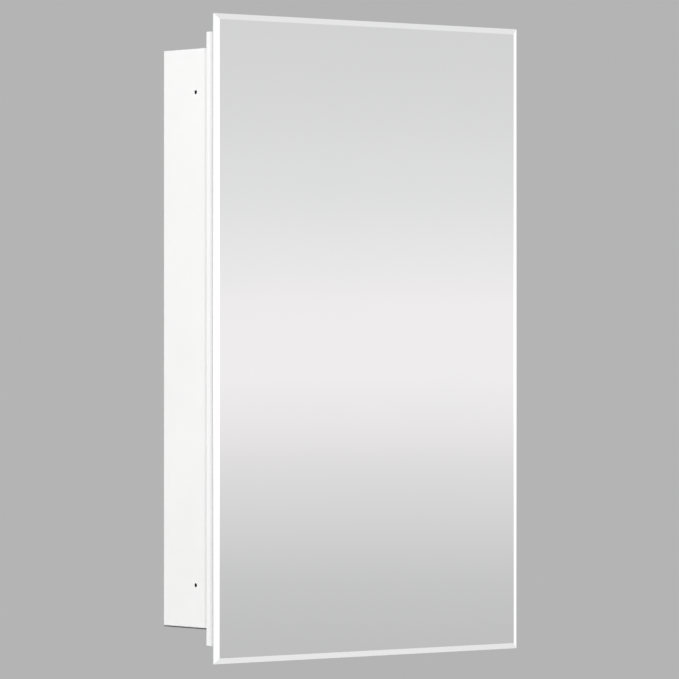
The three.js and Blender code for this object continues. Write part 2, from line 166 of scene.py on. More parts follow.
def add_camera():
    data = bpy.data.cameras.new("view")
    data.lens = LENS
    data.sensor_width = SENSOR
    data.clip_end = 100
    camera = bpy.data.objects.new("view", data)
    looking = Vector((math.sin(VIEW_FROM_LEFT), math.cos(VIEW_FROM_LEFT), 0))
    camera.location = VIEW_TARGET - VIEW_DISTANCE * looking
    camera.rotation_euler = (math.pi / 2, 0, -VIEW_FROM_LEFT)
    bpy.context.scene.collection.objects.link(camera)
    bpy.context.scene.camera = camera


def add_world():
    """The camera sees an even grey. Every other ray sees the studio, whose brightness goes by
    the ray's height."""
    world = bpy.data.worlds.new("studio")
    world.use_nodes = True
    bpy.context.scene.world = world
    tree = Tree(world.node_tree)
    world.node_tree.nodes.clear()
    way = tree.node("TexCoord").outputs["Generated"]
    split = tree.node("SeparateXYZ", {0: way})
    up, back = split.outputs["Z"], split.outputs["Y"]

    def height(degrees):
        return math.sin(math.radians(degrees))

    ramp = tree.node("ValToRGB", {0: tree.fit(up, height(-BAND), height(BAND), 0, 1)})
    ramp.color_ramp.interpolation = "CARDINAL"
    stops = ramp.color_ramp.elements
    stops.remove(stops[1])
    for index, (degrees, level) in enumerate(STUDIO_BAND):
        at = 0.5 + height(degrees) / height(BAND) / 2
        stop = stops.new(at) if index else stops[0]
        stop.position = at
        tint = WARM_LEVEL if WARM_FROM < degrees < WARM_TO else (1, 1, 1)
        stop.color = [level * part for part in tint] + [1]
    climb = tree.fit(up, height(BAND), height(OVERHEAD_FROM), 0, 1)
    fall = tree.fit(up, height(-UNDERFOOT_FROM), height(-BAND), 1, 0)
    studio = tree.mix(climb, ramp.outputs[0], grey(OVERHEAD))
    studio = tree.mix(fall, studio, grey(UNDERFOOT))
    strength = tree.fit(back, DIM_FROM, DIM_TO, 1, BEHIND)
    lit = tree.node("Background", {"Color": studio, "Strength": strength})
    plain = tree.node("Background", {"Color": grey(BACKDROP)})
    camera_ray = tree.node("LightPath").outputs["Is Camera Ray"]
    shown = tree.node("MixShader", {0: camera_ray, 1: lit.outputs[0], 2: plain.outputs[0]})
    tree.node("OutputWorld", {"Surface": shown.outputs[0]})


def add_softbox(name, stand, target, width, height, radiance):
    """A rectangular lamp. In a mirror its radiance adds to the studio behind it."""
    data = bpy.data.lights.new(name, "AREA")
    data.shape = "RECTANGLE"
    data.size, data.size_y = width, height
    data.energy = radiance * math.pi * width * height
    lamp = bpy.data.objects.new(name, data)
    lamp.location = stand
    lamp.rotation_euler = (Vector(target) - Vector(stand)).to_track_quat("-Z", "Y").to_euler()
    lamp.visible_camera = False
    bpy.context.scene.collection.objects.link(lamp)


def add_lamps():
    """The key lights the left side, and the strip casts the rim's shadow on it. The mirror's
    lamps are what its bevels show, and the rear lamp is for the views from behind."""
    add_softbox("key", (-4.0, 0.4, 2.9), (-0.17, 0, 0), width=2.6, height=2.2, radiance=5.73)
    rim_corner = Vector((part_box("rim_left_rail")[0].x, RIM_REAR, 0))
    shadow_end = Vector((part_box("left_side_panel")[0].x, RIM_REAR + RIM_SHADOW, 0))
    towards_strip = (rim_corner - shadow_end).normalized()
    strip_stand = rim_corner + STRIP_DISTANCE * towards_strip + STRIP_RISE * Z
    add_softbox("strip", strip_stand, rim_corner, width=0.1, height=1.5, radiance=76)
    for name, stand, width, height, radiance in MIRROR_LAMPS:
        add_softbox(name, stand, (0, MIRROR_FRONT, 0), width, height, radiance)
    add_softbox("rear", (2.4, 3.4, 2.0), (0, 0, 0), width=2.4, height=2.0, radiance=2.0)


def add_floor():
    """A pale floor far below the cabinet, which fades into the backdrop."""
    bm = bmesh.new()
    bmesh.ops.create_circle(bm, cap_ends=True, segments=96, radius=FLOOR_RADIUS)
    mesh = bpy.data.meshes.new("floor")
    bm.to_mesh(mesh)
    bm.free()
    floor = bpy.data.objects.new("floor", mesh)
    floor.location.z = FLOOR_Z
    look = Look("pale_floor", {"Roughness": 0.9, "Specular IOR Level": 0.1})
    grain = look.noise(2 * MM, detail=2)
    look.feed("Base Color", look.blend(grain, grey(0.60), grey(0.63)))
    radius = look.node("VectorMath", {0: look.coordinates}, operation="LENGTH").outputs["Value"]
    look.feed("Alpha", look.fit(radius, FADE_FROM, FADE_TO, 1, 0))
    mesh.materials.append(look.material)
    bpy.context.scene.collection.objects.link(floor)


# ---------------------------------------------------------------- materials


class Look(Tree):
    """A material and its Principled shader. Textures run on object coordinates, in metres, so a
    texture's size is the real size of its grain."""

    def __init__(self, name, constants):
        self.material = bpy.data.materials.new(name)
        self.material.use_nodes = True
        super().__init__(self.material.node_tree)
        self.shader = self.tree.nodes["Principled BSDF"]
        for socket, value in constants.items():
            self.shader.inputs[socket].default_value = value
        self.coordinates = self.node("TexCoord").outputs["Object"]

    def feed(self, socket, value):
        self.join(value, self.shader.inputs[socket])

    def stretched(self, stretch):
        """Coordinates drawn out along an axis: 20 makes the grain 20 times as long there."""
        scale = Vector([1 / part for part in stretch])
        return self.node("Mapping", {"Vector": self.coordinates, "Scale": scale}).outputs[0]

    def noise(self, size, detail=2, stretch=None):
        vector = self.stretched(stretch) if stretch else self.coordinates
        inputs = {"Vector": vector, "Scale": 1 / size, "Detail": detail}
        return self.node("TexNoise", inputs).outputs["Fac"]

    def cells(self, size):
        inputs = {"Vector": self.coordinates, "Scale": 1 / size}
        return self.node("TexVoronoi", inputs).outputs["Distance"]

    def between(self, value, low, high):
        """A noise value, which is mostly from 0.3 to 0.7, spread over a range."""
        return self.fit(value, 0.3, 0.7, low, high)

    def blend(self, value, first, second):
        """A noise value spread over the colours from the first to the second."""
        return self.mix(self.between(value, 0, 1), first, second)

    def bump(self, height, depth, under=None):
        inputs = {"Height": height, "Distance": depth}
        if under:
            inputs["Normal"] = under
        return self.node("Bump", inputs).outputs[0]


def enamel(name, white):
    """Gloss white baked enamel: faint orange peel, with a slight drift in tone and gloss."""
    drift, blue = 0.012, -0.004
    look = Look(name, {"Coat Weight": 0.25, "Coat Roughness": 0.08, "IOR": 1.48})
    tone = look.noise(90 * MM, detail=3)
    shades = grey(white - drift, blue), grey(white + drift, blue)
    look.feed("Base Color", look.blend(tone, *shades))
    look.feed("Roughness", look.between(look.noise(7 * MM, detail=3), 0.30, 0.40))
    peel = look.bump(look.noise(2.4 * MM, detail=2), 0.035 * MM)
    look.feed("Normal", look.bump(look.noise(0.5 * MM, detail=1), 0.004 * MM, peel))
    return look.material


def cut_edge_painted_shade():
    """The bare cut edge of enamelled steel, where the coat is thin and the grey shows, painted far darker as the
    shade line along the panel's edge.
    """
    look = Look("cut_edge_painted_shade", {"Metallic": 0.5, "Roughness": 0.55})
    grain = look.noise(1.2 * MM, detail=3, stretch=(8, 8, 1))
    look.feed("Base Color", look.blend(grain, grey(0.07), grey(0.16, -0.005)))
    return look.material


def hole_painted_shade():
    """The dull wall of a punched hole, painted near black as shade, with the punch's fine score lines along X."""
    look = Look("hole_painted_shade", {"Roughness": 0.85, "Specular IOR Level": 0.1})
    score = look.noise(0.3 * MM, detail=3, stretch=(6, 1, 1))
    look.feed("Base Color", look.blend(score, grey(0.008), (0.025, 0.024, 0.022)))
    look.feed("Normal", look.bump(score, 0.03 * MM))
    return look.material


def silvering(name, waviness):
    """Silver seen through clear float glass, with the faint waviness that polishing leaves."""
    glass = {"IOR": 1.52, "Coat Weight": 0.5, "Coat Roughness": 0.0}
    look = Look(name, {"Metallic": 1.0, **glass})
    drift = look.noise(160 * MM, detail=2)
    look.feed("Base Color", look.blend(drift, (0.925, 0.93, 0.928), (0.935, 0.937, 0.936)))
    haze = look.noise(45 * MM, detail=4)
    look.feed("Roughness", look.between(haze, 0.004, 0.016))
    look.feed("Normal", look.bump(look.noise(waviness, detail=1), 0.0015 * MM))
    return look.material


def ground_glass():
    """The mirror's ground edge: fine grey-green frost with short grinding lines."""
    look = Look("ground_glass_edge", {"IOR": 1.52, "Transmission Weight": 0.15})
    frost = look.noise(0.35 * MM, detail=4)
    look.feed("Base Color", look.blend(frost, (0.50, 0.56, 0.54), (0.62, 0.68, 0.66)))
    look.feed("Roughness", look.between(frost, 0.30, 0.55))
    lines = look.noise(0.12 * MM, detail=2, stretch=(1, 6, 1))
    look.feed("Normal", look.bump(lines, 0.02 * MM))
    return look.material


def mirror_backing():
    """The grey paint over the mirror's silver, with roller texture."""
    look = Look("mirror_backing_paint", {"Specular IOR Level": 0.35})
    cloud = look.noise(25 * MM, detail=5)
    look.feed("Base Color", look.blend(cloud, (0.30, 0.33, 0.33), (0.37, 0.40, 0.40)))
    look.feed("Roughness", look.between(look.noise(3 * MM, detail=3), 0.5, 0.7))
    look.feed("Normal", look.bump(look.noise(1.1 * MM, detail=3), 0.03 * MM))
    return look.material


def shelf_face():
    """Clear float glass, with a slight drift in its green and its polish."""
    look = Look("shelf_glass", {"IOR": 1.52, "Transmission Weight": 1.0})
    drift = look.noise(120 * MM)
    look.feed("Base Color", look.blend(drift, (0.93, 0.975, 0.96), (0.95, 0.985, 0.97)))
    look.feed("Roughness", look.between(look.noise(60 * MM, detail=4), 0.0, 0.012))
    return look.material


def shelf_edge():
    """A shelf's seamed edge: the green that glass shows end on, under a satin grind."""
    look = Look("shelf_glass_edge", {"IOR": 1.52, "Transmission Weight": 0.2})
    frost = look.noise(0.5 * MM, detail=3)
    streaks = look.noise(1.3 * MM, detail=2, stretch=(40, 40, 1))
    look.feed("Base Color", look.blend(streaks, (0.22, 0.47, 0.39), (0.52, 0.78, 0.70)))
    look.feed("Roughness", look.between(frost, 0.25, 0.40))
    look.feed("Normal", look.bump(frost, 0.004 * MM))
    return look.material


def rolled_metal(name, dark, light, rough, grain_along, blue=0.0):
    """Plated or bright steel: fine rolling lines along an axis, and a clouded tone."""
    look = Look(name, {"Metallic": 1.0, "Anisotropic": 0.3})
    stretch = [40 if axis == grain_along else 1 for axis in "XYZ"]
    lines = look.noise(0.4 * MM, detail=4, stretch=stretch)
    mixed = look.mix_values(0.4, lines, look.noise(9 * MM, detail=3))
    look.feed("Base Color", look.blend(mixed, grey(dark, blue), grey(light, blue)))
    look.feed("Roughness", look.between(mixed, *rough))
    look.feed("Normal", look.bump(lines, 0.0015 * MM))
    return look.material


def white_plastic():
    """Moulded satin plastic with a fine spark-eroded grain."""
    look = Look("white_plastic", {"Subsurface Weight": 0.08, "Subsurface Scale": 1.5 * MM})
    tone = look.noise(12 * MM, detail=2)
    look.feed("Base Color", look.blend(tone, grey(0.82, -0.03), grey(0.87, -0.025)))
    look.feed("Roughness", look.between(look.noise(1.5 * MM), 0.42, 0.55))
    look.feed("Normal", look.bump(look.noise(0.25 * MM, detail=3), 0.012 * MM))
    return look.material


def ferrite():
    """Dark sintered ferrite with a grainy, chipped face."""
    look = Look("ferrite", {"Metallic": 0.3})
    grain = look.noise(0.6 * MM, detail=5)
    look.feed("Base Color", look.blend(grain, grey(0.018, 0.002), grey(0.05, 0.002)))
    look.feed("Roughness", look.between(grain, 0.45, 0.7))
    look.feed("Normal", look.bump(look.cells(1.1 * MM), 0.05 * MM))
    return look.material


def soft_rubber():
    """Translucent bumper rubber, slightly dusty."""
    milky = {"Subsurface Weight": 0.5, "Subsurface Scale": 3 * MM, "IOR": 1.45}
    look = Look("clear_rubber", milky)
    dust = look.noise(1.8 * MM, detail=4)
    look.feed("Base Color", look.blend(dust, grey(0.68, -0.03), grey(0.78, -0.03)))
    look.feed("Roughness", look.between(dust, 0.35, 0.6))
    look.feed("Normal", look.bump(look.noise(0.5 * MM, detail=2), 0.02 * MM))
    return look.material


def hardboard():
    """Pressed fibreboard: matted fibres over a darker ground."""
    look = Look("hardboard", {"Specular IOR Level": 0.25})
    along = look.noise(0.5 * MM, detail=5, stretch=(9, 1, 1))
    across = look.noise(0.5 * MM, detail=5, stretch=(1, 1, 9))
    fibres = look.node("Math", {0: along, 1: across}, operation="MAXIMUM").outputs[0]
    look.feed("Base Color", look.blend(fibres, (0.14, 0.08, 0.04), (0.34, 0.22, 0.12)))
    look.feed("Roughness", look.between(fibres, 0.65, 0.9))
    look.feed("Normal", look.bump(fibres, 0.08 * MM))
    return look.material


def foam():
    """Closed-cell foam tape: small round cells."""
    look = Look("foam_tape", {"Specular IOR Level": 0.2})
    cells = look.cells(0.45 * MM)
    look.feed("Base Color", look.blend(cells, grey(0.012, 0.002), grey(0.05, 0.003)))
    look.feed("Roughness", look.between(cells, 0.8, 0.95))
    look.feed("Normal", look.bump(cells, 0.12 * MM))
    return look.material


ENAMEL = enamel("white_enamel", 0.912)
# A lighter copy of the body's white: painted light on the rim's side, which the mirror's overhang shades.
RIM_ENAMEL_PAINTED_LIGHT = enamel("rim_enamel_painted_light", 0.955)
CUT_EDGE_PAINTED_SHADE = cut_edge_painted_shade()
HOLE_PAINTED_SHADE = hole_painted_shade()
MIRROR_FACE = silvering("mirror_face", 70 * MM)
MIRROR_BEVEL = silvering("mirror_bevel", 9 * MM)
GROUND_GLASS = ground_glass()
MIRROR_BACKING = mirror_backing()
SHELF_FACE = shelf_face()
SHELF_EDGE = shelf_edge()
ZINC_PLATE = rolled_metal("zinc_plate", 0.58, 0.72, (0.24, 0.40), "Z", blue=0.012)
ZINC_CLIP = rolled_metal("zinc_clip", 0.60, 0.75, (0.22, 0.36), "Y", blue=0.012)
BRIGHT_STEEL = rolled_metal("bright_steel", 0.48, 0.62, (0.16, 0.30), "Z")
WHITE_PLASTIC = white_plastic()
FERRITE = ferrite()
SOFT_RUBBER = soft_rubber()
HARDBOARD = hardboard()
FOAM = foam()

# ---------------------------------------------------------------- shape tools

ROUND_STEPS = 3  # faces round a quarter of a small rounded edge
CORNER_STEPS = 5  # and round a corner of an outline
PRESS_STEPS = 8  # and across the step round a pressed field
SIDES = 32  # and round a hole or a small turned piece
FINE_SIDES = 40  # and round the hinge's pin and the bumpers
SHARP_BEND = math.radians(35)  # a sharper bend between two faces stays a crisp line
BROKEN_BEND = math.radians(40)  # and one sharper than this is broken where a CAD shape is kept
SAME_POINT = 1e-7  # points nearer than this are one
TRIM = 0.02 * MM  # keeps the faces of two joined lumps out of one plane


def in_metres(profile, rise=0):
    """A profile that is given in millimetres, raised along its axis."""
    return [(radius * MM, height * MM + rise) for radius, height in profile]


def mirrored(profile):
    """A profile, and then its own mirror image about W = 0."""
    return profile + [(radius, -height) for radius, height in profile[::-1]]


def circle(radius, centre=(0, 0), sides=SIDES):
    """Points round a circle, anticlockwise."""
    turns = [2 * math.pi * i / sides for i in range(sides)]
    return [(centre[0] + radius * math.cos(a), centre[1] + radius * math.sin(a)) for a in turns]


def rectangle(width, height, radius, centre=(0, 0)):
    """Points round a rectangle with rounded corners, anticlockwise."""
    points = []
    for corner, (i, k) in enumerate([(1, 1), (-1, 1), (-1, -1), (1, -1)]):
        middle_u = centre[0] + i * (width / 2 - radius)
        middle_v = centre[1] + k * (height / 2 - radius)
        for step in range(CORNER_STEPS + 1):
            turn = math.pi / 2 * (corner + step / CORNER_STEPS)
            points.append((middle_u + radius * math.cos(turn), middle_v + radius * math.sin(turn)))
    return points


def quarter(radius):
    """A quarter round as pairs: how far in from the side, and how far down from the face."""
    turns = [math.pi / 2 * i / ROUND_STEPS for i in range(ROUND_STEPS + 1)]
    return [(radius * (1 - math.sin(a)), radius * (1 - math.cos(a))) for a in turns]


def plate_outline(width, height, radius, centre=(0, 0)):
    """A plate's outline, as a function from its growth to its points."""
    return lambda grow: rectangle(width + 2 * grow, height + 2 * grow, radius + grow, centre)


def hole_outline(radius, centre):
    """A hole's outline, as a function from the growth of the sheet round it to its points."""
    return lambda grow: circle(radius - grow, centre)[::-1]


def pressed_outline(size, corner, border, field_corner):
    """The outline of a pressed sheet, as a function from inset to points. The pressed field
    inside its border has corners of its own."""

    def outline(inset):
        radius = corner - inset if inset < border else field_corner
        return rectangle(size.x - 2 * inset, size.z - 2 * inset, radius)

    return outline


def pressed_step(border, slope, height):
    """The rounded step up to a pressed field, as pairs: how far in, and how far up."""
    parts = [i / PRESS_STEPS for i in range(PRESS_STEPS + 1)]
    return [(border + slope * part, height * part * part * (3 - 2 * part)) for part in parts]


def ring(bm, points, height):
    """Points at one height along W."""
    return [bm.verts.new((u, v, height)) for u, v in points]


def skin(bm, lower, upper):
    """Faces between two rings of the same number of points. They face out for anticlockwise
    rings that rise along W."""
    count = len(lower)
    around = [(i, (i + 1) % count) for i in range(count)]
    return [bm.faces.new((lower[i], lower[k], upper[k], upper[i])) for i, k in around]


def skins(bm, rings):
    """A band of faces between each ring and the next."""
    return [skin(bm, lower, upper) for lower, upper in zip(rings, rings[1:])]


def closed(bm, rings):
    """A closed shape over a stack of rings. Its bands of faces run from the flat face on the
    first ring to the one on the last."""
    bands = skins(bm, rings)
    return [[bm.faces.new(rings[0])], *bands, [bm.faces.new(rings[-1])]]


def paint(bands, indices):
    """Gives each band of faces the material with its index."""
    for band, index in zip(bands, indices):
        for face in band:
            face.material_index = index


def fill(bm, loops):
    """A flat face over closed loops of points, with the inner loops left open."""
    if len(loops) == 1:
        bm.faces.new(loops[0])
        return
    edges = [bm.edges.get((loop[i - 1], loop[i])) for loop in loops for i in range(len(loop))]
    bmesh.ops.triangle_fill(bm, edges=edges, use_beauty=True)


def slab(bm, outlines, low, high, edge):
    """A plate from W = low to W = high with its edges rounded by a radius. The first outline
    goes round the plate and any others are its holes. Gives the plate's points."""
    rounding = quarter(edge) if edge else [(0, 0)]
    levels = sorted((low + down, inset) for inset, down in rounding)
    levels += sorted((high - down, inset) for inset, down in rounding)
    stacks = [[ring(bm, outline(-inset), at) for at, inset in levels] for outline in outlines]
    for rings in stacks:
        skins(bm, rings)
    for end in (0, -1):
        fill(bm, [rings[end] for rings in stacks])
    return [vert for rings in stacks for points in rings for vert in points]


def turned(bm, profile, sides=SIDES):
    """A piece turned about W, from pairs of radius and height that begin and end near the axis.
    Gives the piece's points."""
    rings = [ring(bm, circle(radius, sides=sides), height) for radius, height in profile]
    closed(bm, rings)
    return [vert for points in rings for vert in points]


def place(bm, origin, u, v, verts=None):
    """Moves a shape from its own U, V, W axes into the frame: W is at right angles to U and V."""
    w = u.cross(v)
    turn = Matrix((u, v, w)).transposed().to_4x4()
    matrix = Matrix.Translation(origin) @ turn
    bmesh.ops.transform(bm, matrix=matrix, verts=verts or bm.verts[:])


def crisp(bm, bend):
    """Closes the shape, turns its faces outwards and keeps a crisp line at each sharper bend."""
    bmesh.ops.remove_doubles(bm, verts=bm.verts[:], dist=SAME_POINT)
    bmesh.ops.recalc_face_normals(bm, faces=bm.faces[:])
    for face in bm.faces:
        face.smooth = True
    for edge in bm.edges:
        edge.smooth = edge.is_manifold and edge.calc_face_angle(0) < bend


def finish(bm, node, slot, *materials, bend=SHARP_BEND):
    """Makes the finished piece that stands for a CAD node."""
    crisp(bm, bend)
    name = f"{node}_finished"
    mesh = bpy.data.meshes.new(name)
    bm.to_mesh(mesh)
    bm.free()
    for material in materials:
        mesh.materials.append(material)
    piece = bpy.data.objects.new(name, mesh)
    bpy.context.scene.collection.objects.link(piece)
    level_normals(piece)
    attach(piece, body_of(node))
    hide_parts(node)


def level_normals(piece):
    """Keeps the large flat faces flat beside their small rounded edges."""
    level = piece.modifiers.new("level_normals", "WEIGHTED_NORMAL")
    level.keep_sharp = True


def dress(node, material, edge):
    """Keeps a CAD node's own shape, with its edges broken and a finished material."""
    piece = frame["nodes"][node]
    for slot in piece.material_slots:
        slot.material = material
    weld = piece.modifiers.new("weld", "WELD")
    weld.merge_threshold = 0.001 * MM
    if edge:
        broken = piece.modifiers.new("broken_edges", "BEVEL")
        broken.width = edge
        broken.segments = 2
        broken.angle_limit = BROKEN_BEND
    level_normals(piece)


# ---------------------------------------------------------------- the recessed body

SHEET_EDGE = 0.3 * MM  # the radius that the enamel gives the sheet's edges
SHEET_CORNER = 0.4 * MM
SCREW_HOLE_RADIUS = 2.05 * MM
SCREW_HOLE_Z = 253.7 * MM  # above and below the middle
SCREW_HOLE_Y = RIM_REAR + 37.5 * MM

WELD_RADIUS = 2.6 * MM
WELD_DEPTH = 0.25 * MM
WELD_INSET = 9 * MM  # from the ends of the panel
WELD_DISH = [(0.04, 1), (0.5, 0.9), (0.85, 0.35), (1.05, 0.02)]  # parts of its radius and depth

BACK_BORDER = 22 * MM  # the flat border round the pressed field
BACK_SLOPE = 5 * MM  # how wide the step up to the field is
BACK_PRESS = 1.6 * MM  # and how high
BACK_FIELD_CORNER = 6 * MM


def side_panel(node):
    """A side panel: U runs along Y and V along Z. Its two screw holes go right through, and
    their steep walls are painted near black as the shade inside the holes."""
    size, centre = size_of(node), middle(node)
    rows = [Vector((SCREW_HOLE_Y - centre.y, sign * SCREW_HOLE_Z - centre.z)) for sign in (1, -1)]
    outlines = [plate_outline(size.y, size.z, SHEET_CORNER)]
    outlines += [hole_outline(SCREW_HOLE_RADIUS, row) for row in rows]
    bm = bmesh.new()
    slab(bm, outlines, -size.x / 2, size.x / 2, SHEET_EDGE)
    bm.normal_update()
    # The steep faces round each hole take the near-black material: painted shade inside the holes.
    for face in bm.faces:
        at = face.calc_center_median().xy
        near = min((at - row).length for row in rows) < 2 * SCREW_HOLE_RADIUS
        steep = abs(face.normal.z) < 0.5
        face.material_index = near and steep
    place(bm, centre, Y, Z)
    finish(bm, node, "white_enamel", ENAMEL, HOLE_PAINTED_SHADE)


def spot_weld(bm, centre, thickness):
    """The shallow dish that a spot weld leaves in both faces, as a plug for its hole in the
    sheet."""
    dish = [(part * WELD_RADIUS, thickness / 2 - deep * WELD_DEPTH) for part, deep in WELD_DISH]
    verts = turned(bm, mirrored(dish))
    bmesh.ops.translate(bm, verts=verts, vec=(*centre, 0))


def lid_panel(node):
    """The top or bottom panel: U runs along X and V along Y. Spot welds hold it to the sides,
    and its two ends are bare cut edges, painted dark as the shade line along the sides' edges."""
    size = size_of(node)
    reach = size.x / 2 - WELD_INSET
    welds = [(side * reach, row * size.y / 3) for side in (-1, 1) for row in (-1, 0, 1)]
    outlines = [plate_outline(size.x, size.y, SHEET_CORNER)]
    outlines += [hole_outline(WELD_RADIUS, weld) for weld in welds]
    bm = bmesh.new()
    slab(bm, outlines, -size.z / 2, size.z / 2, SHEET_EDGE)
    # The ends take the dark cut-edge grey, which also paints the shade line along the sides' edges.
    for face in bm.faces:
        face.material_index = abs(face.calc_center_median().x) > size.x / 2 - SHEET_EDGE
    for weld in welds:
        spot_weld(bm, weld, size.z)
    place(bm, middle(node), X, Y)
    finish(bm, node, "white_enamel", ENAMEL, CUT_EDGE_PAINTED_SHADE)


def back_panel(node):
    """The back panel's field is pressed towards the shelves, with a flat border round it."""
    size = size_of(node)
    outline = pressed_outline(size, SHEET_CORNER, BACK_BORDER, BACK_FIELD_CORNER)
    step = pressed_step(BACK_BORDER, BACK_SLOPE, BACK_PRESS)
    edge = quarter(SHEET_EDGE)
    shape = step[::-1] + edge
    shape += [(inset, size.y - down) for inset, down in edge[::-1]]
    shape += [(inset, size.y + up) for inset, up in step]
    bm = bmesh.new()
    closed(bm, [ring(bm, outline(inset), level) for inset, level in shape])
    place(bm, middle(node, y=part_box(node)[1].y), X, Z)
    finish(bm, node, "white_enamel", ENAMEL)


def add_body():
    side_panel("left_side_panel")
    side_panel("right_side_panel")
    lid_panel("top_panel")
    lid_panel("bottom_panel")
    back_panel("back_panel")


# ---------------------------------------------------------------- the rim

RIM_FOLD = 1.1 * MM  # outer radius of the folded sheet
RIM_INNER_FOLD = 0.3 * MM
MITRE_EDGE = 0.12 * MM  # how far the mitred ends are rounded, which shows as a fine line


def rail(node, outward, along):
    """A mitred box rail. U runs inwards from its outer face, V along Y and W along its length."""
    size = size_of(node)
    width, depth = abs(size.dot(outward)), size.y
    half = abs(size.dot(along)) / 2
    axis = (width / 2, 0)

    def outer(grow):
        return rectangle(width + 2 * grow, depth + 2 * grow, RIM_FOLD, axis)

    def inner(grow):
        walls = 2 * (SHEET + grow)
        return rectangle(width - walls, depth - walls, RIM_INNER_FOLD, axis)[::-1]

    bm = bmesh.new()
    slab(bm, [outer, inner], -half, half, MITRE_EDGE)
    for vert in bm.verts:
        vert.co.z -= math.copysign(vert.co.x, vert.co.z)
    outer_face = middle(node) + outward * (width / 2)
    place(bm, outer_face, -outward, along.cross(-outward))
    # The rim takes the lighter enamel, painted light against the mirror's shade.
    finish(bm, node, "white_enamel", RIM_ENAMEL_PAINTED_LIGHT)


def add_rim():
    rail("rim_left_rail", -X, Z)
    rail("rim_right_rail", X, Z)
    rail("rim_top_rail", Z, X)
    rail("rim_bottom_rail", -Z, X)


# ---------------------------------------------------------------- shelves

SHELF_CORNER = 2 * MM
SHELF_SEAM = 0.5 * MM  # how far the seams are ground in


def shelf(node):
    """A glass shelf with a flat ground edge, seamed along each arris."""
    size = size_of(node)
    outline = plate_outline(size.x, size.y, SHELF_CORNER)
    levels = [(0, SHELF_SEAM), (SHELF_SEAM, 0), (size.z - SHELF_SEAM, 0), (size.z, SHELF_SEAM)]
    face, edge = 0, 1
    bm = bmesh.new()
    bands = closed(bm, [ring(bm, outline(-inset), level) for level, inset in levels])
    paint(bands, (face, edge, edge, edge, face))
    place(bm, middle(node, z=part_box(node)[0].z), X, Y)
    finish(bm, node, "shelf_glass", SHELF_FACE, SHELF_EDGE)


def add_shelving():
    for level in ("lower", "middle", "upper"):
        shelf(f"shelf_{level}")
    for side in ("left", "right"):
        for row in ("front", "rear"):
            dress(f"shelf_track_{side}_{row}", ENAMEL, edge=0.22 * MM)
            for level in ("lower", "middle", "upper"):
                dress(f"shelf_clip_{level}_{side}_{row}", ZINC_CLIP, edge=0.2 * MM)


# ---------------------------------------------------------------- the hinge

BARREL, BORE = 2.3 * MM, 1.6 * MM  # the knuckles' outer and inner radius
ARC_STEPS = 40
LIP = 187  # degrees round from +U, where a knuckle's rolled end stops
KNUCKLES = 24
KNUCKLE_PITCH = 25 * MM
KNUCKLE_GAP = 0.4 * MM

LEAF_INNER, LEAF_OUTER = 0.8 * MM, 1.7 * MM  # a leaf's faces, from the hinge's middle plane
LEAF_CORNER = 1.0 * MM
LEAF_EDGE = 0.15 * MM
LEAF_HOLE = 1.7 * MM
LEAF_GAP = 0.5 * MM  # from a leaf's flat sheet to the barrel's side
STUB_OVERLAP = 0.6 * MM  # how far a knuckle's stub runs on into the leaf

PIN_RADIUS = 1.25 * MM
PIN_NOSE = [(0.3, 0), (0.7, 0.12), (0.92, 0.3), (1, 0.55)]  # parts of its radius, from its end


def knuckle_outline(leaf_low, leaf_high, stub):
    """The section of one knuckle: the leaf's sheet runs in from -U and rolls round the pin, and
    its end stops short of where it began."""

    def arc(radius, start, end):
        turns = [math.radians(start + (end - start) * i / ARC_STEPS) for i in range(ARC_STEPS + 1)]
        return [(radius * math.cos(a), radius * math.sin(a)) for a in turns]

    def outline(grow):
        outside, inside = BARREL + grow, BORE - grow
        top, under = leaf_high + grow, leaf_low - grow
        meets_top = 180 - math.degrees(math.asin(top / outside))
        meets_under = 180 - math.degrees(math.asin(under / inside))
        points = [(-stub, top)] + arc(outside, meets_top, LIP - 360)
        points += arc(inside, LIP - 360, meets_under) + [(-stub, under)]
        return points[::-1]

    return outline


def hinge_leaf(node, side, first, rivet_nodes):
    """A leaf and every second knuckle. U runs along X, V along Y and W along Z; side is +1 for
    the leaf on the rim, and -1 for the door's."""
    low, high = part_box(node)
    width = HINGE_AXIS.x - BARREL - LEAF_GAP - low.x
    mid_plane = HINGE_AXIS.y + side * (LEAF_INNER + LEAF_OUTER) / 2
    centre = middle(node, x=low.x + width / 2, y=mid_plane)
    rivets = [middle(name) - centre for name in rivet_nodes]
    outlines = [plate_outline(width, high.z - low.z, LEAF_CORNER)]
    outlines += [hole_outline(LEAF_HOLE, (at.x, at.z)) for at in rivets]
    half_sheet = (LEAF_OUTER - LEAF_INNER) / 2
    bm = bmesh.new()
    slab(bm, outlines, -half_sheet, half_sheet, LEAF_EDGE)
    place(bm, centre, X, Z)
    stub = BARREL + LEAF_GAP + STUB_OVERLAP
    knuckle = knuckle_outline(LEAF_INNER + TRIM, LEAF_OUTER - TRIM, stub)
    half_length = (KNUCKLE_PITCH - KNUCKLE_GAP) / 2
    for index in range(first, KNUCKLES, 2):
        verts = slab(bm, [knuckle], -half_length, half_length, 0)
        bmesh.ops.scale(bm, verts=verts, vec=(1, side, 1))
        height = low.z + (index + 0.5) * KNUCKLE_PITCH
        bmesh.ops.translate(bm, verts=verts, vec=(HINGE_AXIS.x, HINGE_AXIS.y, height))
    finish(bm, node, "zinc_plate", ZINC_PLATE)


def hinge_pin(node):
    """The pin, with a rounded nose at each end."""
    half = size_of(node).z / 2
    nose = [(part * PIN_RADIUS, rise * PIN_RADIUS - half) for part, rise in PIN_NOSE]
    bm = bmesh.new()
    turned(bm, mirrored(nose), FINE_SIDES)
    place(bm, middle(node), X, Y)
    finish(bm, node, "bright_steel", BRIGHT_STEEL)


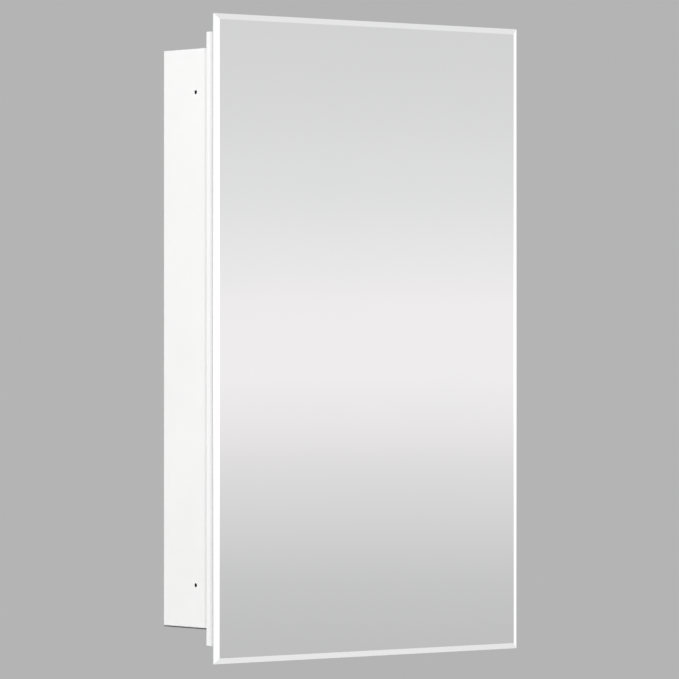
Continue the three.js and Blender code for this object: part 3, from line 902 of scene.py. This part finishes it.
# A blind rivet from its head to its tail, as radius and height in millimetres. The head's
# heights are from its underside, and the tail's from its end.
RIVET_HEAD = [(0.25, 0.28), (0.8, 0.24), (0.95, 0.6), (1.3, 0.7), (2.0, 0.55), (2.55, 0.25)]
RIVET_HEAD += [(2.7, 0.08), (2.66, 0), (1.5, 0)]
RIVET_TAIL = [(1.5, 1.0), (1.9, 0.92), (2.2, 0.7), (2.25, 0.45), (1.9, 0.12), (1.35, 0), (0.2, 0)]
RIVET_HEAD_HEIGHT = 0.7 * MM


def rivet(node, heading):
    """A blind rivet. heading is the way its head faces: +1 for +Y and -1 for -Y."""
    low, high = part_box(node)
    shank = high.y - low.y - RIVET_HEAD_HEIGHT
    bm = bmesh.new()
    turned(bm, in_metres(RIVET_HEAD) + in_metres(RIVET_TAIL, -shank))
    underside = high.y - RIVET_HEAD_HEIGHT if heading > 0 else low.y + RIVET_HEAD_HEIGHT
    place(bm, middle(node, y=underside), X, -Z * heading)
    finish(bm, node, "bright_steel", BRIGHT_STEEL)


def add_hinge():
    on_cabinet = [f"hinge_rivet_cabinet_{i}" for i in (1, 2, 3, 4)]
    on_door = [f"hinge_rivet_door_{i}" for i in (1, 2, 3, 4)]
    hinge_leaf("hinge_leaf_cabinet", 1, 0, on_cabinet)
    hinge_leaf("hinge_leaf_door", -1, 1, on_door)
    hinge_pin("hinge_pin")
    for node in on_cabinet:
        rivet(node, -1)
    for node in on_door:
        rivet(node, 1)


# ---------------------------------------------------------------- the magnetic catch

HOUSING_CORNER = 1.6 * MM
HOUSING_EDGE = 0.5 * MM
POCKET_ROOM = 0.6 * MM  # how much wider and taller the pocket is than the magnet with its poles
POCKET_CORNER = 0.6 * MM
FLOOR_BACK, FLOOR_FRONT = 0.6 * MM, 2 * MM  # the pocket's floor, from the housing's rear
FLOOR_OVERLAP = 0.5 * MM  # how far the floor runs on into the pocket's walls
FLOOR_CORNER = 1 * MM

EAR_HEIGHT, EAR_THICKNESS = 11 * MM, 3 * MM
EAR_OVERLAP = 4 * MM  # how far an ear runs on inside the housing
EAR_CORNER = 2.5 * MM
EAR_EDGE = 0.4 * MM
EAR_INSET = 0.5 * MM  # from the housing's front and rear

PLATE_HOLE = 1.8 * MM  # in the ears and in the strike plate
STRIKE_CORNER = 3 * MM
STRIKE_EDGE = 0.25 * MM


def catch_housing(node):
    """A moulded block with a pocket for the magnet and an ear above and below for the screws."""
    low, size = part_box(node)[0], size_of(node)
    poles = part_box("catch_pole_inner")[1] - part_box("catch_pole_outer")[0]
    pocket_w, pocket_h = poles.x + POCKET_ROOM, poles.z + POCKET_ROOM
    tall = size.z - 2 * EAR_HEIGHT
    block = plate_outline(size.x, tall, HOUSING_CORNER)

    def pocket(grow):
        return rectangle(pocket_w - 2 * grow, pocket_h - 2 * grow, POCKET_CORNER)[::-1]

    bm = bmesh.new()
    slab(bm, [block, pocket], -size.y, 0, HOUSING_EDGE)
    overlap = 2 * FLOOR_OVERLAP
    floor = plate_outline(pocket_w + overlap, pocket_h + overlap, FLOOR_CORNER)
    slab(bm, [floor], FLOOR_BACK - size.y, FLOOR_FRONT - size.y, 0)
    place(bm, middle(node, y=low.y), X, Z)
    ears = []
    ear_w, ear_h = size.y - 2 * EAR_INSET, EAR_HEIGHT + EAR_OVERLAP
    for side in (-1, 1):
        ear_middle = (0, side * (tall + EAR_HEIGHT - EAR_OVERLAP) / 2)
        ear = plate_outline(ear_w, ear_h, EAR_CORNER, ear_middle)
        bore = hole_outline(PLATE_HOLE, (0, side * (tall + EAR_HEIGHT) / 2))
        ears += slab(bm, [ear, bore], TRIM, EAR_THICKNESS, EAR_EDGE)
    place(bm, middle(node, x=low.x), Y, Z, ears)
    finish(bm, node, "white_plastic", WHITE_PLASTIC)


# A pan-head screw in millimetres: radius, and height from the head's underside. The cross in its
# head has the reach of an arm, half the width of an arm, and its depth.
SCREW = [(0.1, -9), (0.5, -8.4), (1.4, -7), (1.5, 0), (3.15, 0), (3.3, 0.15), (3.3, 0.7)]
SCREW += [(3.2, 1.1), (2.9, 1.5), (2.4, 1.82), (2.0, 1.95)]
SCREW_HEAD_HEIGHT = 2 * MM
CROSS_ARM, CROSS_WAIST, CROSS_DEPTH = 1.55, 0.36, 1.2
ARM_TAPER, WAIST_TAPER = 0.45, 0.7  # how much of the reach and width is left at the bottom


def cross(arm, waist):
    """Points round a cross recess, anticlockwise."""
    arm_points = [(arm, -waist), (arm, waist), (waist, waist)]
    points = []
    for turn in range(4):
        c, s = round(math.cos(turn * math.pi / 2)), round(math.sin(turn * math.pi / 2))
        points += [((u * c - v * s) * MM, (u * s + v * c) * MM) for u, v in arm_points]
    return points


def catch_screw(node):
    """A cross-recess screw. Its head faces +X."""
    bm = bmesh.new()
    rings = [ring(bm, circle(radius), height) for radius, height in in_metres(SCREW)]
    skins(bm, rings)
    bm.faces.new(rings[0])
    top = SCREW[-1][1] * MM
    mouth = ring(bm, cross(CROSS_ARM, CROSS_WAIST), top)
    narrowed = cross(CROSS_ARM * ARM_TAPER, CROSS_WAIST * WAIST_TAPER)
    bottom = ring(bm, narrowed, top - CROSS_DEPTH * MM)
    skin(bm, mouth, bottom)
    bm.faces.new(bottom)
    fill(bm, [rings[-1], mouth])
    place(bm, middle(node, x=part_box(node)[1].x - SCREW_HEAD_HEIGHT), Y, Z)
    finish(bm, node, "bright_steel", BRIGHT_STEEL)


def strike_plate(node):
    """The plated steel that the magnet holds, on two rivets."""
    size, centre = size_of(node), middle(node)
    rivets = [middle(f"strike_rivet_{level}").z - centre.z for level in ("upper", "lower")]
    outlines = [plate_outline(size.x, size.z, STRIKE_CORNER)]
    outlines += [hole_outline(PLATE_HOLE, (0, z)) for z in rivets]
    bm = bmesh.new()
    slab(bm, outlines, -size.y / 2, size.y / 2, STRIKE_EDGE)
    place(bm, centre, X, Z)
    finish(bm, node, "zinc_plate", ZINC_PLATE)


def add_catch():
    catch_housing("catch_housing")
    dress("catch_magnet", FERRITE, edge=0.25 * MM)
    for side in ("outer", "inner"):
        dress(f"catch_pole_{side}", BRIGHT_STEEL, edge=0.2 * MM)
    for level in ("upper", "lower"):
        catch_screw(f"catch_screw_{level}")
        rivet(f"strike_rivet_{level}", 1)
    strike_plate("strike_plate")


# ---------------------------------------------------------------- the door bumpers

# A push-in bumper in millimetres, from the end of its stem to its pad: radius, and height from
# the rim's front towards the door.
BUMPER = [(0.3, -4.5), (0.75, -4.4), (0.9, -3.9), (1.3, -3), (1.3, 0), (4.2, 0), (4.5, 0.25)]
BUMPER += [(4.5, 2.2), (4.35, 2.75), (3.95, 3.15), (3.4, 3.35), (2.2, 3.4), (0.3, 3.4)]


def bumper(node):
    stem = -BUMPER[0][1] * MM
    bm = bmesh.new()
    turned(bm, in_metres(BUMPER), FINE_SIDES)
    place(bm, middle(node, y=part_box(node)[1].y - stem), X, Z)
    finish(bm, node, "clear_rubber", SOFT_RUBBER)


# ---------------------------------------------------------------- the door

PAN_CORNER = 3 * MM
PAN_BEND = 1.4 * MM  # outer radius of the bend between the pan's rear and its sides
PAN_FILLET = 0.5 * MM  # inside that bend
HEM_RADIUS = 0.45 * MM  # of the sides' rounded front edge
HEM_STEPS = 6
PAN_BORDER = 42 * MM  # the flat border round the pressed field
PAN_SLOPE = 6 * MM  # how wide the step up to the field is
PAN_PRESS = 1.3 * MM  # and how high
PAN_FIELD_CORNER = 8 * MM

BEVEL_WIDTH = 6 * MM
EDGE_THICKNESS = 1.4 * MM  # of the mirror outside its bevel
ARRIS = 0.12 * MM  # how far the mirror's arrises are ground off
MIRROR_BEND = math.radians(5)  # the mirror's shallow bevel stays crisp too


def door_pan(node):
    """A drawn steel tray. Its rear face has a raised field, and its front is open."""
    size = size_of(node)
    outline = pressed_outline(size, PAN_CORNER, PAN_BORDER, PAN_FIELD_CORNER)
    step = pressed_step(PAN_BORDER, PAN_SLOPE, PAN_PRESS)
    outside = step[::-1] + [(inset, -down) for inset, down in quarter(PAN_BEND)]
    turns = [math.pi * (1 - i / HEM_STEPS) for i in range(HEM_STEPS + 1)]
    hem_middle = HEM_RADIUS - size.y
    hem = [
        (SHEET / 2 + HEM_RADIUS * math.cos(a), hem_middle - HEM_RADIUS * math.sin(a))
        for a in turns
    ]
    inside = [(SHEET, -SHEET - PAN_FILLET), (SHEET + PAN_FILLET, -SHEET)]
    inside += [(inset, up - SHEET) for inset, up in step]
    bm = bmesh.new()
    closed(bm, [ring(bm, outline(inset), level) for inset, level in outside + hem + inside])
    place(bm, middle(node, y=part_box(node)[1].y), X, -Z)
    finish(bm, node, "white_enamel", ENAMEL)


def mirror(node):
    """The mirror: painted behind, ground at its edge, and silvered behind its face and bevel."""
    size = size_of(node)
    levels = [(ARRIS, 0), (0, ARRIS), (0, EDGE_THICKNESS - ARRIS), (ARRIS, EDGE_THICKNESS)]
    levels += [(BEVEL_WIDTH, size.y)]
    bm = bmesh.new()
    rings = []
    for inset, level in levels:
        half_u, half_v = size.x / 2 - inset, size.z / 2 - inset
        corners = [(half_u, half_v), (-half_u, half_v), (-half_u, -half_v), (half_u, -half_v)]
        rings.append(ring(bm, corners, level))
    face, bevel, edge, backing = range(4)
    paint(closed(bm, rings), (backing, edge, edge, edge, bevel, face))
    place(bm, middle(node, y=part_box(node)[1].y), X, Z)
    materials = [MIRROR_FACE, MIRROR_BEVEL, GROUND_GLASS, MIRROR_BACKING]
    finish(bm, node, "mirror", *materials, bend=MIRROR_BEND)


def add_door():
    door_pan("door_pan")
    mirror("mirror_glass")
    dress("backing_board", HARDBOARD, edge=0.3 * MM)
    for strip in ("left", "centre", "right"):
        dress(f"mounting_tape_{strip}", FOAM, edge=0)


add_camera()
add_world()
add_lamps()
add_floor()
add_body()
add_rim()
add_shelving()
add_hinge()
add_catch()
bumper("door_bumper_upper")
bumper("door_bumper_lower")
add_door()

# The brightness of a surface is shown as it is, without a film curve.
bpy.context.scene.view_settings.view_transform = "Standard"
